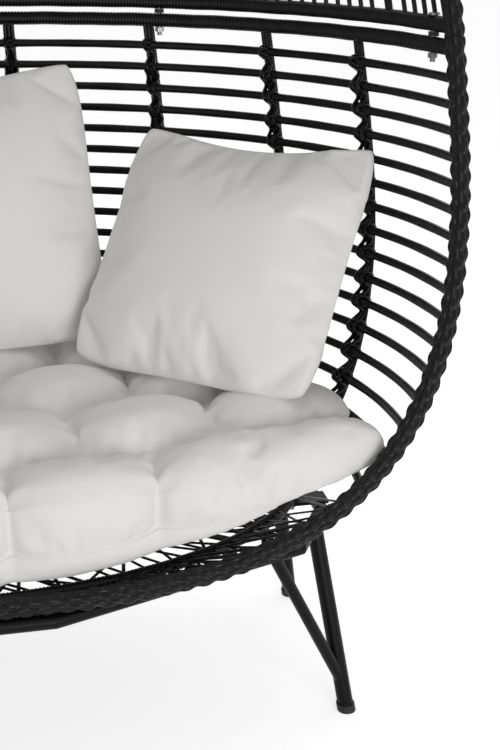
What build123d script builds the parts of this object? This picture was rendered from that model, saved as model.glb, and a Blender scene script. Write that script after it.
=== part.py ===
"""Two-seat garden egg chair: a wicker basket with a bolted hood on a splayed tube base.

Millimetres, +Z up, front is -Y, origin on the floor under the middle of the basket.
"""
import os
from math import atan2, cos, pi, radians, sin, sqrt

from build123d import *

os.makedirs("parts", exist_ok=True)

# Basket opening: a rim that leans back, widest at the joint with the hood
rim_half_width = 703.0
rim_bottom_z = 333.0
chair_depth = 830.0
rim_lean = 18.0
joint_z = 1034.0
hood_top_z = 1545.0
rim_squareness = 3.1
hood_squareness = 2.3
rim_radius = 15.0
rim_post_reach = 60.0
contact_gap = 0.3

# Basket shell
rail_radius = 12.0
shell_bottom_z = 300.0
shell_squareness = 2.4
rod_radius = 6.0
rod_count = 16
rod_sides = 6
rod_pitch = 35.7
rod_first_drop = 41.5
rib_radius = 6.0
rib_fractions = (0.11, 0.353, 0.57, 0.755)
rib_clearance = 1.8
rib_rods = (2, 4, 6, 8, 10, 12, 14, 15, 16)

# Seat hoop and woven seat net
hoop_radius = 10.0
hoop_half_width = 500.0
hoop_half_depth = 320.0
hoop_arc_reach = 1.95
net_thickness = 3.0
net_hole = 62.0
net_pitch_x = 92.0
net_pitch_y = 78.0
net_columns = 10
net_rows = 7
net_stagger = 0.25
net_turn = 37.0

# Hood
hood_rail_radius = 12.0
hood_gap = 6.0
hood_rod_radius = 3.5
hood_rod_count = 26
hood_rod_sides = 4
hood_rod_spare = 0.33
hood_rib_fractions = (0.36, 0.84)
hood_fan_reach = 330.0
hood_bulge = 0.16

# Base: faceted tube ring, splayed legs, braces
ring_radius = 11.0
ring_corners = ((92.0, -344.0), (465.0, -209.0), (530.0, -90.0))
leg_radius = 12.5
leg_top = (506.0, -134.0)
leg_foot = (550.0, -190.0)
brace_radius = 9.0
brace_share = 0.12
brace_foot_height = 48.0
glide_height = 12.0
glide_floor = 3.0
glide_wall = 2.0

# Fasteners
bolt_radius = 4.0
bolt_clearance = 0.3
bolt_hole_length = 120.0
bolt_head_radius = 9.0
bolt_head_height = 3.0
bolt_head_taper = 30.0
bolt_tail = 6.0
nut_radius = 7.5
nut_sides = 6
nut_height = 6.5
nut_clearance = 0.05
tab_width = 36.0
tab_margin = 20.0
tab_spread = 76.0
hood_bolt_fractions = (0.38, 0.945)
spacer_radius = 8.0
spacer_sides = 12

# Cushions: seat pad sections as height over the hoop, inset from the shell, front edge behind the rim
seat_sections = (
    (0.3, 14.0, 24.0),
    (32.0, 14.0, 19.0),
    (77.0, 14.0, 13.0),
    (122.0, 14.0, 15.0),
    (150.0, 46.0, 47.0),
    (166.0, 130.0, 135.0),
)
seat_arc_reach = 0.92
channel_radius = 40.0
channel_depth = 12.0
tuft_lines = (100.0, 265.0, 430.0)
tuft_pitch = 203.0
tuft_shift = 40.0
tuft_columns = 7
pillow_crown = 68.0
pillow_edge = 8.0
pillow_draw = 14.0
pillow_poses = {
    "pillow_centre": (235.0, (-12.0, 181.0, 741.4), 0.0, 22.0, 3.0),
    "pillow_right": (212.0, (400.0, -7.0, 693.7), -41.0, 36.0, 0.0),
    "pillow_left": (212.0, (-412.0, -19.0, 684.2), 41.0, 36.0, 0.0),
}

rim_bottom_y = rim_radius - chair_depth / 2
back_y = chair_depth / 2 - rail_radius
lean = radians(rim_lean)
joint_length = (joint_z - rim_bottom_z) / cos(lean)
hood_length = (hood_top_z - joint_z) / cos(lean)
ring_z = rim_bottom_z - rim_radius - ring_radius - contact_gap
hoop_y = rim_bottom_y + rim_radius + hoop_radius + contact_gap + hoop_half_depth
hoop_z = rim_bottom_z
hoop_top_z = hoop_z + hoop_radius
ring_y = rim_bottom_y - ring_corners[0][1]
hole_radius = bolt_radius + bolt_clearance
tab_x = hoop_half_width * sqrt(1 - (tab_spread / hoop_half_depth) ** 2)
base_bolt_places = [(sx * tab_x, hoop_y + sy * tab_spread) for sx in (-1, 1) for sy in (-1, 1)]


def keep(builder, name):
    builder.part.label = name
    export_step(builder.part, f"parts/{name}.step")


def rounded_share(drop, squareness):
    return (1 - min(drop, 1.0) ** squareness) ** (1 / squareness)


def rim_place(half_width, length):
    return (half_width, rim_bottom_y + length * sin(lean), rim_bottom_z + length * cos(lean))


def rim_at_height(z):
    length = (z - rim_bottom_z) / cos(lean)
    share = rounded_share((joint_length - length) / joint_length, rim_squareness)
    return rim_place(rim_half_width * share, length)


def back_at_height(z):
    return back_y * rounded_share((joint_z - z) / (joint_z - shell_bottom_z), shell_squareness)


def shell_circle(z):
    """Centre, radius and half angle of the level arc from rim to rim round the back."""
    x, y, _ = rim_at_height(z)
    back = back_at_height(z)
    centre = (x * x + y * y - back * back) / (2 * (y - back))
    return centre, back - centre, atan2(x, y - centre)


def shell_point(z, fraction, outward=0.0):
    centre, radius, half_angle = shell_circle(z)
    angle = fraction * half_angle
    reach = radius + outward
    return (reach * sin(angle), centre + reach * cos(angle), z)


def level_arc(z):
    return ThreePointArc(shell_point(z, -1), shell_point(z, 0), shell_point(z, 1))


def rail_point(z, fraction):
    x, y, _ = shell_point(joint_z, fraction)
    return (x, y, z)


def rail_arc(z):
    return ThreePointArc(rail_point(z, -1), rail_point(z, 0), rail_point(z, 1))


def hoop_seat(fraction):
    """Where a rib lands on the outer shoulder of the hoop."""
    angle = fraction * hoop_arc_reach
    shoulder = hoop_radius * sin(pi / 4)
    x = (hoop_half_width + shoulder) * sin(angle)
    y = hoop_y + (hoop_half_depth + shoulder) * cos(angle)
    return (x, y, hoop_z + shoulder)


def start_plane(path):
    return Plane(origin=path @ 0, z_dir=path % 0)


def round_bar(start, end, radius):
    start, end = Vector(*start), Vector(*end)
    with BuildPart() as bar:
        with BuildSketch(Plane(origin=start, z_dir=end - start)):
            Circle(radius)
        extrude(amount=(end - start).length)
    return bar.part


def bolt_group(places, head_z, tail_z):
    """Upright bolts with a low round head at head_z and a plain end at tail_z."""
    with BuildPart() as bolts:
        with BuildSketch(Plane.XY.offset(tail_z)):
            with Locations(*places):
                Circle(bolt_radius)
        extrude(amount=head_z - tail_z)
        with BuildSketch(Plane.XY.offset(head_z)):
            with Locations(*places):
                Circle(bolt_head_radius)
        extrude(amount=bolt_head_height, taper=bolt_head_taper)
    return bolts


def bolt_hole_group(places, middle_z):
    with BuildPart() as holes:
        with Locations(*[(x, y, middle_z) for x, y in places]):
            Cylinder(hole_radius, bolt_hole_length)
    return holes.part


def ring_group(places, low_z, high_z, sides, radius, bore):
    with BuildPart() as rings:
        with BuildSketch(Plane.XY.offset(low_z)):
            with Locations(*places):
                RegularPolygon(radius, sides)
                Circle(bore, mode=Mode.SUBTRACT)
        extrude(amount=high_z - low_z)
    return rings


# Basket rim: a U from joint to joint through the front of the seat
rim_angles = (0, 0.3, 0.55, 0.8, 1.05, 1.3, 1.45, pi / 2)
rim_right = []
for angle in rim_angles:
    share = sin(angle) ** (2 / rim_squareness)
    drop = cos(angle) ** (2 / rim_squareness) if angle < pi / 2 else 0.0
    rim_right.append(rim_place(rim_half_width * share, joint_length * (1 - drop)))
rim_left = [(-x, y, z) for x, y, z in reversed(rim_right[1:])]
joint_plane = Plane(origin=rim_place(0, joint_length), z_dir=(0, sin(lean), cos(lean)))

with BuildPart() as basket_rim:
    with BuildLine() as rim_line:
        Spline(*rim_left, *rim_right)
    with BuildSketch(start_plane(rim_line.edges()[0])):
        Circle(rim_radius)
    sweep()
    split(bisect_by=joint_plane, keep=Keep.BOTTOM)
keep(basket_rim, "basket_rim")

# Hood rim: an arch that stands on the ends of the basket rim
arch_angles = (0, 0.12, 0.3, 0.6, 0.9, 1.2, pi / 2)
arch_right = []
for angle in arch_angles:
    share = cos(angle) ** (2 / hood_squareness) if angle < pi / 2 else 0.0
    rise = sin(angle) ** (2 / hood_squareness)
    arch_right.append(rim_place(rim_half_width * share, joint_length + hood_length * rise))
arch_left = [(-x, y, z) for x, y, z in reversed(arch_right[:-1])]

with BuildPart() as hood_rim:
    with BuildLine() as arch_line:
        Spline(*arch_right, *arch_left)
    with BuildSketch(start_plane(arch_line.edges()[0])):
        Circle(rim_radius)
    sweep()
    split(bisect_by=joint_plane, keep=Keep.TOP)
keep(hood_rim, "hood_rim")

# Top rail of the basket and bottom rail of the hood, bolted one on the other
rail_z = joint_z - hood_gap / 2 - rail_radius
hood_rail_z = joint_z + hood_gap / 2 + hood_rail_radius
hood_bolt_places = [rail_point(0, side * f)[:2] for side in (-1, 1) for f in hood_bolt_fractions]
hood_bolt_holes = bolt_hole_group(hood_bolt_places, joint_z)
base_bolt_holes = bolt_hole_group(base_bolt_places, hoop_z)

# Room for the two rims where they meet, straight through the joint
with BuildPart() as rim_posts:
    for side in (-1, 1):
        low = rim_place(side * rim_half_width, joint_length - rim_post_reach)
        high = rim_place(side * rim_half_width, joint_length + rim_post_reach)
        add(round_bar(low, high, rim_radius + contact_gap))

with BuildPart() as basket_top_rail:
    with BuildLine() as rail_line:
        rail_arc(rail_z)
    with BuildSketch(start_plane(rail_line.edges()[0])):
        Circle(rail_radius)
    sweep()
    add(rim_posts.part, mode=Mode.SUBTRACT)
    add(hood_bolt_holes, mode=Mode.SUBTRACT)
keep(basket_top_rail, "basket_top_rail")

with BuildPart() as hood_bottom_rail:
    with BuildLine() as hood_rail_line:
        rail_arc(hood_rail_z)
    with BuildSketch(start_plane(hood_rail_line.edges()[0])):
        Circle(hood_rail_radius)
    sweep()
    add(rim_posts.part, mode=Mode.SUBTRACT)
    add(hood_bolt_holes, mode=Mode.SUBTRACT)
keep(hood_bottom_rail, "hood_bottom_rail")


def rod_height(number):
    return rail_z - rod_first_drop - rod_pitch * (number - 1)


# Level wicker rods, from rim to rim round the back
for number in range(1, rod_count + 1):
    with BuildPart() as back_rod:
        with BuildLine() as rod_line:
            level_arc(rod_height(number))
        with BuildSketch(start_plane(rod_line.edges()[0])):
            RegularPolygon(rod_radius, rod_sides)
        sweep()
        add(basket_rim.part, mode=Mode.SUBTRACT)
    keep(back_rod, f"back_rod_{number:02d}")

# Seat hoop: wrapped oval tube under the cushion
with BuildPart() as seat_hoop:
    with BuildLine(Plane.XY.offset(hoop_z)) as hoop_line:
        EllipticalCenterArc((0, hoop_y), hoop_half_width, hoop_half_depth, arc_size=180)
        EllipticalCenterArc((0, hoop_y), hoop_half_width, hoop_half_depth, start_angle=180, arc_size=180)
    with BuildSketch(start_plane(hoop_line.edges()[0])):
        Circle(hoop_radius)
    sweep()
    add(base_bolt_holes, mode=Mode.SUBTRACT)
keep(seat_hoop, "seat_hoop")

# Wrapped ribs behind the rods, from the top rail down to the seat hoop
rib_outset = rod_radius + rib_radius + rib_clearance
rib_number = 0


def rib_point(z, fraction):
    """Point behind the rods, set back square to the slope of the shell."""
    slope = (back_at_height(z + rod_radius) - back_at_height(z - rod_radius)) / (2 * rod_radius)
    return shell_point(z, fraction, rib_outset * sqrt(1 + slope**2))


for side in (-1, 1):
    for fraction in rib_fractions:
        rib_number += 1
        rib_heights = [rail_z, *[rod_height(number) for number in rib_rods]]
        rib_points = [rib_point(z, side * fraction) for z in rib_heights]
        with BuildPart() as basket_rib:
            with BuildLine() as rib_line:
                Spline(*rib_points, hoop_seat(side * fraction))
            with BuildSketch(start_plane(rib_line.edges()[0])):
                RegularPolygon(rib_radius, rod_sides)
            sweep()
            add(basket_top_rail.part, mode=Mode.SUBTRACT)
            add(seat_hoop.part, mode=Mode.SUBTRACT)
        keep(basket_rib, f"basket_rib_{rib_number}")

# Open woven net inside the hoop
with BuildPart() as seat_net:
    with BuildSketch(Plane.XY.offset(hoop_z - net_thickness / 2)):
        with Locations((0, hoop_y)):
            Ellipse(
                hoop_half_width - hoop_radius - contact_gap,
                hoop_half_depth - hoop_radius - contact_gap,
            )
        for row in range(net_rows):
            for column in range(net_columns):
                hole_x = (column - (net_columns - 1) / 2 + net_stagger * (-1) ** row) * net_pitch_x
                hole_y = (row - (net_rows - 1) / 2) * net_pitch_y
                reach_x = (abs(hole_x) + net_hole) / hoop_half_width
                reach_y = (abs(hole_y) + net_hole) / hoop_half_depth
                if reach_x**2 + reach_y**2 < 1:
                    with Locations((hole_x, hoop_y + hole_y)):
                        turn = net_turn * (row + column)
                        RegularPolygon(net_hole / 2, 4 + column % 2, rotation=turn, mode=Mode.SUBTRACT)
    extrude(amount=net_thickness)
keep(seat_net, "seat_net")


def hood_strand(fraction):
    """Arc from the hood's bottom rail up to the top of its rim."""
    foot = Vector(*rail_point(hood_rail_z, fraction))
    top_x = hood_fan_reach * fraction
    rise = rounded_share(abs(top_x) / rim_half_width, hood_squareness)
    top = Vector(*rim_place(top_x, joint_length + hood_length * rise))
    middle = (foot + top) / 2
    outward = (middle - Vector(0, rim_bottom_y + joint_length * sin(lean), joint_z)).normalized()
    return ThreePointArc(foot, middle + outward * (top - foot).length * hood_bulge, top)


# Hood ribs and the fan of thin rods between them
hood_rib_number = 0
for side in (-1, 1):
    for fraction in hood_rib_fractions:
        hood_rib_number += 1
        with BuildPart() as hood_rib:
            with BuildLine() as hood_rib_line:
                hood_strand(side * fraction)
            with BuildSketch(start_plane(hood_rib_line.edges()[0])):
                RegularPolygon(rib_radius, rod_sides)
            sweep()
            add(hood_bottom_rail.part, mode=Mode.SUBTRACT)
            add(hood_rim.part, mode=Mode.SUBTRACT)
        keep(hood_rib, f"hood_rib_{hood_rib_number}")

hood_rod_step = 2 / (hood_rod_count + 1)
with BuildPart() as hood_rods:
    for number in range(hood_rod_count):
        fraction = -1 + hood_rod_step * (number + 1)
        if min(abs(abs(fraction) - rib) for rib in hood_rib_fractions) < hood_rod_spare * hood_rod_step:
            continue
        with BuildLine() as hood_rod_line:
            hood_strand(fraction)
        with BuildSketch(start_plane(hood_rod_line.edges()[0])):
            RegularPolygon(hood_rod_radius, hood_rod_sides)
        sweep()
    add(hood_bottom_rail.part, mode=Mode.SUBTRACT)
    add(hood_rim.part, mode=Mode.SUBTRACT)
keep(hood_rods, "hood_rods")

# Base ring: a faceted oval of tube under the basket
front_half = [(x, ring_y + y) for x, y in ring_corners]
rear_half = [(x, ring_y - y) for x, y in reversed(ring_corners)]
right_side = front_half + rear_half
left_side = [(-x, y) for x, y in reversed(right_side)]

with BuildPart() as base_ring:
    with BuildLine(Plane.XY.offset(ring_z)) as ring_line:
        Polyline(*right_side, *left_side, close=True)
    ring_start = (*front_half[0], ring_z)
    with BuildSketch(Plane(origin=ring_start, z_dir=ring_line.edges()[0] % 0)):
        Circle(ring_radius)
    sweep(transition=Transition.RIGHT)
keep(base_ring, "base_ring")

# Four splayed legs, each with a brace from the ring to just above the foot
corner_x = ring_corners[1][0] + brace_share * (ring_corners[0][0] - ring_corners[1][0])
corner_y = ring_corners[1][1] + brace_share * (ring_corners[0][1] - ring_corners[1][1])
leg_reach = ring_z / (ring_z - brace_foot_height)
glides = []
for name, sx, sy in (
    ("front_right", 1, 1),
    ("front_left", -1, 1),
    ("rear_right", 1, -1),
    ("rear_left", -1, -1),
):
    top = Vector(sx * leg_top[0], ring_y + sy * leg_top[1], ring_z)
    foot = Vector(sx * leg_foot[0], ring_y + sy * leg_foot[1], 0)
    knee = foot + (top - foot) / leg_reach * (leg_reach - 1)
    below = foot + (foot - top) * (leg_radius / ring_z)
    with BuildPart() as leg:
        add(round_bar(below, top, leg_radius))
        split(bisect_by=Plane.XY.offset(glide_floor), keep=Keep.TOP)
        add(base_ring.part, mode=Mode.SUBTRACT)
    keep(leg, f"leg_{name}")
    with BuildPart() as brace:
        add(round_bar((sx * corner_x, ring_y + sy * corner_y, ring_z), knee, brace_radius))
        add(base_ring.part, mode=Mode.SUBTRACT)
        add(leg.part, mode=Mode.SUBTRACT)
    keep(brace, f"brace_{name}")
    with BuildPart() as glide:
        add(round_bar(below, top, leg_radius + glide_wall))
        split(bisect_by=Plane.XY, keep=Keep.TOP)
        split(bisect_by=Plane.XY.offset(glide_height), keep=Keep.BOTTOM)
        add(leg.part, mode=Mode.SUBTRACT)
    glides.append(glide.part)

with BuildPart() as foot_glides:
    add(glides)
keep(foot_glides, "foot_glides")

# Tabs on the ring that carry the hoop, with their bolts and nuts
tab_low_z = ring_z + ring_radius
tab_high_z = hoop_z - hoop_radius
tab_inner_x = tab_x - tab_margin
tab_outer_x = ring_corners[2][0] + ring_radius
tab_middle_x = (tab_inner_x + tab_outer_x) / 2

with BuildPart() as base_tabs:
    with BuildSketch(Plane.XY.offset(tab_low_z)):
        with Locations(*[(sx * tab_middle_x, y) for sx in (-1, 1) for _, y in base_bolt_places[:2]]):
            Rectangle(tab_outer_x - tab_inner_x, tab_width)
        with Locations(*base_bolt_places):
            Circle(hole_radius, mode=Mode.SUBTRACT)
    extrude(amount=tab_high_z - tab_low_z)
keep(base_tabs, "base_tabs")

keep(bolt_group(base_bolt_places, hoop_top_z, tab_low_z - nut_height - bolt_tail), "base_bolts")
nut_bore = bolt_radius + nut_clearance
base_nuts = ring_group(base_bolt_places, tab_low_z - nut_height, tab_low_z, nut_sides, nut_radius, nut_bore)
keep(base_nuts, "base_nuts")

# Hood bolts through both rails, with spacers between and nuts below
hood_head_z = hood_rail_z + hood_rail_radius
hood_nut_z = rail_z - rail_radius
keep(bolt_group(hood_bolt_places, hood_head_z, hood_nut_z - nut_height - bolt_tail), "hood_bolts")
hood_nuts = ring_group(hood_bolt_places, hood_nut_z - nut_height, hood_nut_z, nut_sides, nut_radius, nut_bore)
keep(hood_nuts, "hood_nuts")
spacer_low_z = joint_z - hood_gap / 2
spacer_high_z = joint_z + hood_gap / 2
hood_spacers = ring_group(
    hood_bolt_places, spacer_low_z, spacer_high_z, spacer_sides, spacer_radius, hole_radius
)
keep(hood_spacers, "hood_spacers")

# Seat cushion: fills the bowl of the shell, crowned, sewn into staggered puffs
with BuildPart() as seat_cushion:
    for height, inset, front in seat_sections:
        section_z = hoop_top_z + height
        outset = -rod_radius - inset
        left, left_back, back, right_back, right = [
            shell_point(section_z, share * seat_arc_reach, outset)[:2] for share in (-1, -0.5, 0, 0.5, 1)
        ]
        with BuildSketch(Plane.XY.offset(section_z)):
            with BuildLine():
                ThreePointArc(left, left_back, back)
                ThreePointArc(back, right_back, right)
                ThreePointArc(right, (0, rim_bottom_y + front), left)
            make_face()
    loft()
    channel_z = hoop_top_z + seat_sections[-1][0] - channel_depth + channel_radius
    for line in tuft_lines:
        with Locations((0, rim_bottom_y + line, channel_z)):
            Cylinder(channel_radius, 2 * rim_half_width, rotation=(0, 90, 0), mode=Mode.SUBTRACT)
    row_ends = (0.0, *tuft_lines, chair_depth)
    for row, (row_front, row_back) in enumerate(zip(row_ends, row_ends[1:])):
        row_y = rim_bottom_y + (row_front + row_back) / 2
        for column in range(tuft_columns):
            seam_x = tuft_shift + (column - (tuft_columns - 1) / 2 + row % 2 / 2) * tuft_pitch
            with Locations((seam_x, row_y, channel_z)):
                Cylinder(channel_radius, row_back - row_front, rotation=(90, 0, 0), mode=Mode.SUBTRACT)
keep(seat_cushion, "seat_cushion")

# Loose pillows: crowned both ways, sides drawn in between the corners
for name, (half, middle, turn, tilt, roll) in pillow_poses.items():
    pose = Location(middle, (0, 0, turn)) * Location((0, 0, 0), (90 - tilt, 0, 0))
    pose = pose * Location((0, 0, 0), (0, 0, roll))
    with BuildPart() as pillow:
        for plane, mode in ((Plane.XZ, Mode.ADD), (Plane.YZ, Mode.INTERSECT)):
            with BuildSketch(Plane(pose * plane.location)):
                with BuildLine():
                    ThreePointArc((-half, pillow_edge), (0, pillow_crown), (half, pillow_edge))
                    Line((half, pillow_edge), (half, -pillow_edge))
                    ThreePointArc((half, -pillow_edge), (0, -pillow_crown), (-half, -pillow_edge))
                    Line((-half, -pillow_edge), (-half, pillow_edge))
                make_face()
            extrude(amount=half, both=True, mode=mode)
        drawn = half - pillow_draw
        with BuildSketch(Plane(pose)):
            with BuildLine():
                ThreePointArc((-half, -half), (0, -drawn), (half, -half))
                ThreePointArc((half, -half), (drawn, 0), (half, half))
                ThreePointArc((half, half), (0, drawn), (-half, half))
                ThreePointArc((-half, half), (-drawn, 0), (-half, -half))
            make_face()
        extrude(amount=pillow_crown, both=True, mode=Mode.INTERSECT)
    keep(pillow, name)
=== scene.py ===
import math
import random

import bpy
import numpy as np
from mathutils import Matrix, Vector
from mathutils.bvhtree import BVHTree


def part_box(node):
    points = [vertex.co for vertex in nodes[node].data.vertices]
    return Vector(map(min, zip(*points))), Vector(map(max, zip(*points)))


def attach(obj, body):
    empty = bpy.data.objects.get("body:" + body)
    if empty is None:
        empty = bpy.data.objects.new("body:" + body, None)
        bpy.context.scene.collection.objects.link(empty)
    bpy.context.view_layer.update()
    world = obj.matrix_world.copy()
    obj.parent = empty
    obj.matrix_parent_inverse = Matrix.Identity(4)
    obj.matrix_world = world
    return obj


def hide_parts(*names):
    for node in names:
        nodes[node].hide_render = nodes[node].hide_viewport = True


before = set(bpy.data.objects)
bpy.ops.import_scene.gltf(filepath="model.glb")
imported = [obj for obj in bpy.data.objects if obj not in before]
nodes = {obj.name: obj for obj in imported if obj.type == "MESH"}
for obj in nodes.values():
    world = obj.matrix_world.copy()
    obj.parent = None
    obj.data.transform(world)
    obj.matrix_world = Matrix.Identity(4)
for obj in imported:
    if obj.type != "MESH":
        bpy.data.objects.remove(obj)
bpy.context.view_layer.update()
bpy.context.scene.view_settings.view_transform = "Standard"
print("frame loaded:", len(nodes), "nodes")

# the chair's own measures in metres, as the frame has them
chair = {
    "rimRadius": 0.015, "rimHalfWidth": 0.703, "rimBottomZ": 0.333, "rimLean": math.radians(18),
    "jointZ": 1.034, "hoodTopZ": 1.545, "rimSquareness": 3.1, "hoodSquareness": 2.3,
    "railRadius": 0.012, "railDrop": 0.015, "shellBottomZ": 0.3, "shellSquareness": 2.4,
}
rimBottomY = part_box("basket_rim")[0].y + chair["rimRadius"]
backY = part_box("basket_top_rail")[1].y - chair["railRadius"]
lean = chair["rimLean"]
jointLength = (chair["jointZ"] - chair["rimBottomZ"]) / math.cos(lean)
hoodLength = (chair["hoodTopZ"] - chair["jointZ"]) / math.cos(lean)
railZ = chair["jointZ"] - chair["railDrop"]
hoodRailZ = chair["jointZ"] + chair["railDrop"]


def roundedShare(drop, squareness):
    return (1 - min(drop, 1.0) ** squareness) ** (1 / squareness)


def rimPlace(halfWidth, length):
    y = rimBottomY + length * math.sin(lean)
    return Vector((halfWidth, y, chair["rimBottomZ"] + length * math.cos(lean)))


def rimAtHeight(z):
    length = (z - chair["rimBottomZ"]) / math.cos(lean)
    share = roundedShare((jointLength - length) / jointLength, chair["rimSquareness"])
    return rimPlace(chair["rimHalfWidth"] * share, length)


def shellPoint(z, fraction, outward=0.0):
    rim = rimAtHeight(z)
    drop = (chair["jointZ"] - z) / (chair["jointZ"] - chair["shellBottomZ"])
    back = backY * roundedShare(drop, chair["shellSquareness"])
    centre = (rim.x**2 + rim.y**2 - back**2) / (2 * (rim.y - back))
    angle = fraction * math.atan2(rim.x, rim.y - centre)
    reach = back - centre + outward
    return Vector((reach * math.sin(angle), centre + reach * math.cos(angle), z))


def railPoint(z, fraction):
    place = shellPoint(chair["jointZ"], fraction)
    return Vector((place.x, place.y, z))


# helpers for meshes
def deselectAll():
    if bpy.context.object and bpy.context.object.mode != "OBJECT":
        bpy.ops.object.mode_set(mode="OBJECT")
    bpy.ops.object.select_all(action="DESELECT")


def pickOnly(piece):
    deselectAll()
    piece.select_set(True)
    bpy.context.view_layer.objects.active = piece


def finishPiece(piece, material, replaced):
    piece.data.materials.clear()
    piece.data.materials.append(material)
    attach(piece, "root")
    if replaced:
        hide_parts(*replaced)


def smoothFaces(mesh):
    mesh.polygons.foreach_set("use_smooth", [True] * len(mesh.polygons))


def walkEvenly(path, step):
    # the path again in steps of one length, and how far along it each of them is
    points = np.array([tuple(place) for place in path])
    gaps = np.linalg.norm(np.diff(points, axis=0), axis=1)
    along = np.concatenate(([0.0], np.cumsum(gaps)))
    count = max(3, int(round(along[-1] / step)) + 1)
    marks = np.linspace(0, along[-1], count)
    return np.stack([np.interp(marks, along, points[:, axis]) for axis in range(3)], axis=1), marks


def tubeShape(path, step, sides, radiusAt):
    # a tube walked along the path, its surface raised by radiusAt(along, around)
    walked, marks = walkEvenly(path, step)
    ahead = np.gradient(walked, axis=0)
    ahead /= np.linalg.norm(ahead, axis=1)[:, None]
    startsSteep = abs(ahead[0][2]) >= 0.9
    side = np.cross(ahead[0], (0.0, 1.0, 0.0) if startsSteep else (0.0, 0.0, 1.0))
    across = np.empty_like(walked)
    for ring, direction in enumerate(ahead):
        side = side - direction * np.dot(side, direction)
        side = side / np.linalg.norm(side)
        across[ring] = side
    upward = np.cross(ahead, across)
    around = np.linspace(0, 2 * math.pi, sides, endpoint=False)
    rings = len(marks)
    radii = np.broadcast_to(radiusAt(marks[:, None], around[None, :]), (rings, sides))[..., None]
    turn = np.cos(around)[None, :, None] * across[:, None, :]
    turn = turn + np.sin(around)[None, :, None] * upward[:, None, :]
    points = (walked[:, None, :] + radii * turn).reshape(-1, 3)
    corner = np.arange(sides)[None, :]
    ringStart = np.arange(rings - 1)[:, None] * sides
    here = ringStart + corner
    following = ringStart + (corner + 1) % sides
    faces = np.stack([here, following, following + sides, here + sides], axis=-1).reshape(-1, 4).tolist()
    faces.append(list(range(sides))[::-1])  # the two ends are closed
    faces.append(list(range((rings - 1) * sides, rings * sides)))
    return points, faces


def meshPiece(name, shapes):
    # one smooth mesh from several shapes, each a list of points and one of faces
    points = []
    faces = []
    start = 0
    for shapePoints, shapeFaces in shapes:
        points.append(shapePoints)
        faces.extend([[index + start for index in face] for face in shapeFaces])
        start += len(shapePoints)
    mesh = bpy.data.meshes.new(name)
    mesh.from_pydata(np.concatenate(points).tolist(), [], faces)
    smoothFaces(mesh)
    mesh.update()
    piece = bpy.data.objects.new(name, mesh)
    bpy.context.collection.objects.link(piece)
    return piece


# shader node groups shared by several finishes
def addNode(tree, kind, place, **settings):
    node = tree.nodes.new(kind)
    node.location = place
    for key, value in settings.items():
        setattr(node, key, value)
    return node


mottling = {"detail": 4, "grainDetail": 6, "grainRoughness": 0.65, "low": 0.35, "high": 0.65}


def makeMottleGroup():
    # a soft mask and a fine grain height from Object coordinates
    group = bpy.data.node_groups.new("surfaceMottle", "ShaderNodeTree")
    group.interface.new_socket("Vector", in_out="INPUT", socket_type="NodeSocketVector")
    for name in ("Mottle Scale", "Grain Scale"):
        group.interface.new_socket(name, in_out="INPUT", socket_type="NodeSocketFloat")
    for name in ("Mask", "Grain"):
        group.interface.new_socket(name, in_out="OUTPUT", socket_type="NodeSocketFloat")
    entry = addNode(group, "NodeGroupInput", (-500, 0))
    leave = addNode(group, "NodeGroupOutput", (400, 0))
    mottle = addNode(group, "ShaderNodeTexNoise", (-200, 150))
    mottle.inputs["Detail"].default_value = mottling["detail"]
    grain = addNode(group, "ShaderNodeTexNoise", (-200, -150))
    grain.inputs["Detail"].default_value = mottling["grainDetail"]
    grain.inputs["Roughness"].default_value = mottling["grainRoughness"]
    spread = addNode(group, "ShaderNodeMapRange", (100, 150))
    spread.inputs["From Min"].default_value = mottling["low"]
    spread.inputs["From Max"].default_value = mottling["high"]
    link = group.links.new
    link(entry.outputs["Vector"], mottle.inputs["Vector"])
    link(entry.outputs["Vector"], grain.inputs["Vector"])
    link(entry.outputs["Mottle Scale"], mottle.inputs["Scale"])
    link(entry.outputs["Grain Scale"], grain.inputs["Scale"])
    link(mottle.outputs["Fac"], spread.inputs["Value"])
    link(spread.outputs["Result"], leave.inputs["Mask"])
    link(grain.outputs["Fac"], leave.inputs["Grain"])
    return group


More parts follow.
